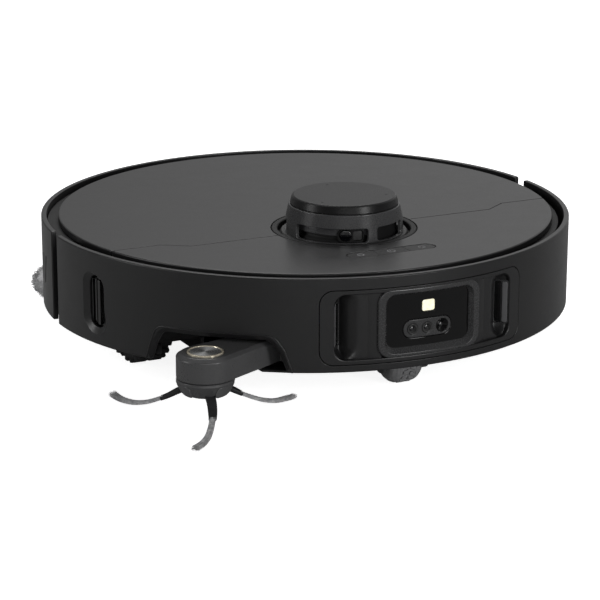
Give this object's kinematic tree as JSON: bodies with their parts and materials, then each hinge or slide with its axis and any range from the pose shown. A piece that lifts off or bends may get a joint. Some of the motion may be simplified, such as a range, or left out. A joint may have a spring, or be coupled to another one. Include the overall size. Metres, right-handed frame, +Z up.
{
  "type": "robotic floor cleaner",
  "caption": "Round low robotic floor vacuum and mop: laser turret on the lid, sprung front bumper with camera window, swing-out side brush and two round spinning mops.",
  "frame": {"origin": "on the floor under the middle of the overall box, with the side brush and the right mop swung out; the round body's own axis stands 10.62 mm behind it, at +Y", "axes": "+Z up; the robot's front, with its bumper and camera window, faces -Y; the robot's own right side, with the side brush, is -X"},
  "size_m": [0.35, 0.3792, 0.1038],
  "materials": {
    "black_plastic": "fine satin black moulded plastic",
    "cover_plastic": "soft-touch charcoal cover plastic",
    "inner_plastic": "plain black structural plastic",
    "gloss_black": "gloss black sensor window",
    "grey_plastic": "mid grey plastic",
    "lens_glass": "dark coated lens",
    "lamp": "warm white diffuser",
    "steel": "bright machined metal",
    "contact_metal": "gold plated contact",
    "tyre_rubber": "black tread rubber",
    "belt_rubber": "drive belt rubber",
    "brush_rubber": "soft brush rubber",
    "bristle": "grey nylon bristle",
    "mop_fabric": "light grey microfibre",
    "filter_paper": "pleated filter medium",
    "battery_wrap": "blue battery sleeve",
    "pcb": "green circuit board",
    "tank_plastic": "smoky tank plastic",
    "dust_box_plastic": "smoky grey bin plastic"
  },
  "bodies": {
    "chassis": {"chassis_base": "inner_plastic", "body_frame": "inner_plastic", "rear_shell": "black_plastic", "top_deck": "inner_plastic", "front_cover": "cover_plastic", "turret_base": "black_plastic", "lidar_motor": "steel", "lidar_belt": "belt_rubber", "charging_contact_left": "contact_metal", "charging_contact_right": "contact_metal", "battery_pack": "battery_wrap", "main_board": "pcb", "water_tank": "tank_plastic", "blower_housing": "inner_plastic", "brush_guard": "inner_plastic", "brush_motor": "steel"},
    "bumper": {"bumper_shell": "black_plastic", "sensor_housing": "black_plastic", "camera_glass": "gloss_black", "led_lamp": "lamp", "camera_lens_left": "lens_glass", "camera_lens_middle": "lens_glass", "camera_lens_right": "lens_glass", "laser_window_left": "gloss_black", "laser_window_right": "gloss_black", "edge_sensor_window": "gloss_black"},
    "rear_lid": {"rear_lid": "cover_plastic"},
    "dust_box": {"dust_box": "dust_box_plastic", "dust_box_lid": "inner_plastic", "dust_filter": "filter_paper"},
    "button_left": {"button_left": "cover_plastic"},
    "button_middle": {"button_middle": "cover_plastic"},
    "button_right": {"button_right": "cover_plastic"},
    "turret_cap": {"turret_cap": "cover_plastic"},
    "lidar_rotor": {"lidar_rotor": "grey_plastic", "lidar_receiver_lens": "lens_glass"},
    "lidar_pulley": {"lidar_pulley": "grey_plastic"},
    "side_arm": {"side_arm": "black_plastic", "side_arm_cap": "steel"},
    "side_brush": {"side_brush_hub": "inner_plastic", "side_bristle_1": "bristle", "side_bristle_2": "bristle", "side_bristle_3": "bristle"},
    "main_brush": {"main_brush_roller": "brush_rubber"},
    "caster_fork": {"caster_fork": "inner_plastic"},
    "caster_wheel": {"caster_wheel": "grey_plastic"},
    "suspension_left": {"suspension_arm_left": "inner_plastic"},
    "suspension_right": {"suspension_arm_right": "inner_plastic"},
    "wheel_left": {"wheel_rim_left": "grey_plastic", "wheel_tyre_left": "tyre_rubber"},
    "wheel_right": {"wheel_rim_right": "grey_plastic", "wheel_tyre_right": "tyre_rubber"},
    "blower_impeller": {"blower_impeller": "grey_plastic"},
    "mop_arm_right": {"mop_arm_right": "inner_plastic"},
    "mop_lift_right": {"mop_shaft_right": "steel"},
    "mop_right": {"mop_holder_right": "grey_plastic", "mop_pad_right": "mop_fabric"},
    "mop_lift_left": {"mop_shaft_left": "steel"},
    "mop_left": {"mop_holder_left": "grey_plastic", "mop_pad_left": "mop_fabric"}
  },
  "joints": [
    {"name": "bumper_press", "type": "slide", "parent": "chassis", "child": "bumper", "axis": [0, 1, 0], "range_m": [0, 0.003], "stiffness_N_per_m": 300, "springref_m": -0.002},
    {"name": "rear_lid_lift", "type": "slide", "parent": "chassis", "child": "rear_lid", "axis": [0, 0, 1], "range_m": [0, 0.12]},
    {"name": "dust_box_lift", "type": "slide", "parent": "chassis", "child": "dust_box", "axis": [0, 0, 1], "range_m": [0, 0.06]},
    {"name": "button_left_press", "type": "slide", "parent": "chassis", "child": "button_left", "axis": [0, 0, -1], "range_m": [0, 0.0005]},
    {"name": "button_middle_press", "type": "slide", "parent": "chassis", "child": "button_middle", "axis": [0, 0, -1], "range_m": [0, 0.0005]},
    {"name": "button_right_press", "type": "slide", "parent": "chassis", "child": "button_right", "axis": [0, 0, -1], "range_m": [0, 0.0005]},
    {"name": "turret_cap_press", "type": "slide", "parent": "chassis", "child": "turret_cap", "axis": [0, 0, -1], "range_m": [0, 0.0008]},
    {"name": "lidar_spin", "type": "hinge", "parent": "chassis", "child": "lidar_rotor", "pos_m": [0, -0.04638, 0.08], "axis": [0, 0, 1], "continuous": true},
    {"name": "lidar_pulley_spin", "type": "hinge", "parent": "chassis", "child": "lidar_pulley", "pos_m": [0.046, -0.07338, 0.068], "axis": [0, 0, 1], "continuous": true},
    {"name": "side_arm_swing", "type": "hinge", "parent": "chassis", "child": "side_arm", "pos_m": [-0.07, -0.12438, 0.032], "axis": [0, 0, 1], "range_deg": [-50, 0]},
    {"name": "side_brush_spin", "type": "hinge", "parent": "side_arm", "child": "side_brush", "pos_m": [-0.1352, -0.12988, 0.02], "axis": [0, 0, 1], "continuous": true},
    {"name": "main_brush_spin", "type": "hinge", "parent": "chassis", "child": "main_brush", "pos_m": [0, -0.05138, 0.0225], "axis": [1, 0, 0], "continuous": true},
    {"name": "caster_swivel", "type": "hinge", "parent": "chassis", "child": "caster_fork", "pos_m": [0, -0.11738, 0.032], "axis": [0, 0, 1], "continuous": true},
    {"name": "caster_roll", "type": "hinge", "parent": "caster_fork", "child": "caster_wheel", "pos_m": [0, -0.12338, 0.015], "axis": [1, 0, 0], "continuous": true},
    {"name": "suspension_left_drop", "type": "hinge", "parent": "chassis", "child": "suspension_left", "pos_m": [0.111, -0.04538, 0.038], "axis": [-1, 0, 0], "range_deg": [0, 30]},
    {"name": "wheel_left_spin", "type": "hinge", "parent": "suspension_left", "child": "wheel_left", "pos_m": [0.129, -0.01138, 0.035], "axis": [1, 0, 0], "continuous": true},
    {"name": "suspension_right_drop", "type": "hinge", "parent": "chassis", "child": "suspension_right", "pos_m": [-0.111, -0.04538, 0.038], "axis": [-1, 0, 0], "range_deg": [0, 30]},
    {"name": "wheel_right_spin", "type": "hinge", "parent": "suspension_right", "child": "wheel_right", "pos_m": [-0.129, -0.01138, 0.035], "axis": [1, 0, 0], "continuous": true},
    {"name": "blower_spin", "type": "hinge", "parent": "chassis", "child": "blower_impeller", "pos_m": [0.072, 0.03062, 0.05], "axis": [0, 0, 1], "continuous": true},
    {"name": "mop_arm_swing", "type": "hinge", "parent": "chassis", "child": "mop_arm_right", "pos_m": [-0.0175, 0.11652, 0.03], "axis": [0, 0, 1], "range_deg": [0, 32.4]},
    {"name": "mop_lift_right", "type": "slide", "parent": "mop_arm_right", "child": "mop_lift_right", "axis": [0, 0, -1], "range_m": [0, 0.0105]},
    {"name": "mop_spin_right", "type": "hinge", "parent": "mop_lift_right", "child": "mop_right", "pos_m": [-0.08, 0.11962, 0.015], "axis": [0, 0, 1], "continuous": true},
    {"name": "mop_lift_left", "type": "slide", "parent": "chassis", "child": "mop_lift_left", "axis": [0, 0, -1], "range_m": [0, 0.0105]},
    {"name": "mop_spin_left", "type": "hinge", "parent": "mop_lift_left", "child": "mop_left", "pos_m": [0.072, 0.08562, 0.015], "axis": [0, 0, 1], "continuous": true}
  ],
  "couplings": [
    {"joint": "dust_box_lift", "follows": "rear_lid_lift", "ratio": 0.5},
    {"joint": "lidar_pulley_spin", "follows": "lidar_spin", "ratio": 4},
    {"joint": "mop_lift_left", "follows": "mop_lift_right", "ratio": 1},
    {"joint": "mop_spin_left", "follows": "mop_spin_right", "ratio": -1}
  ]
}
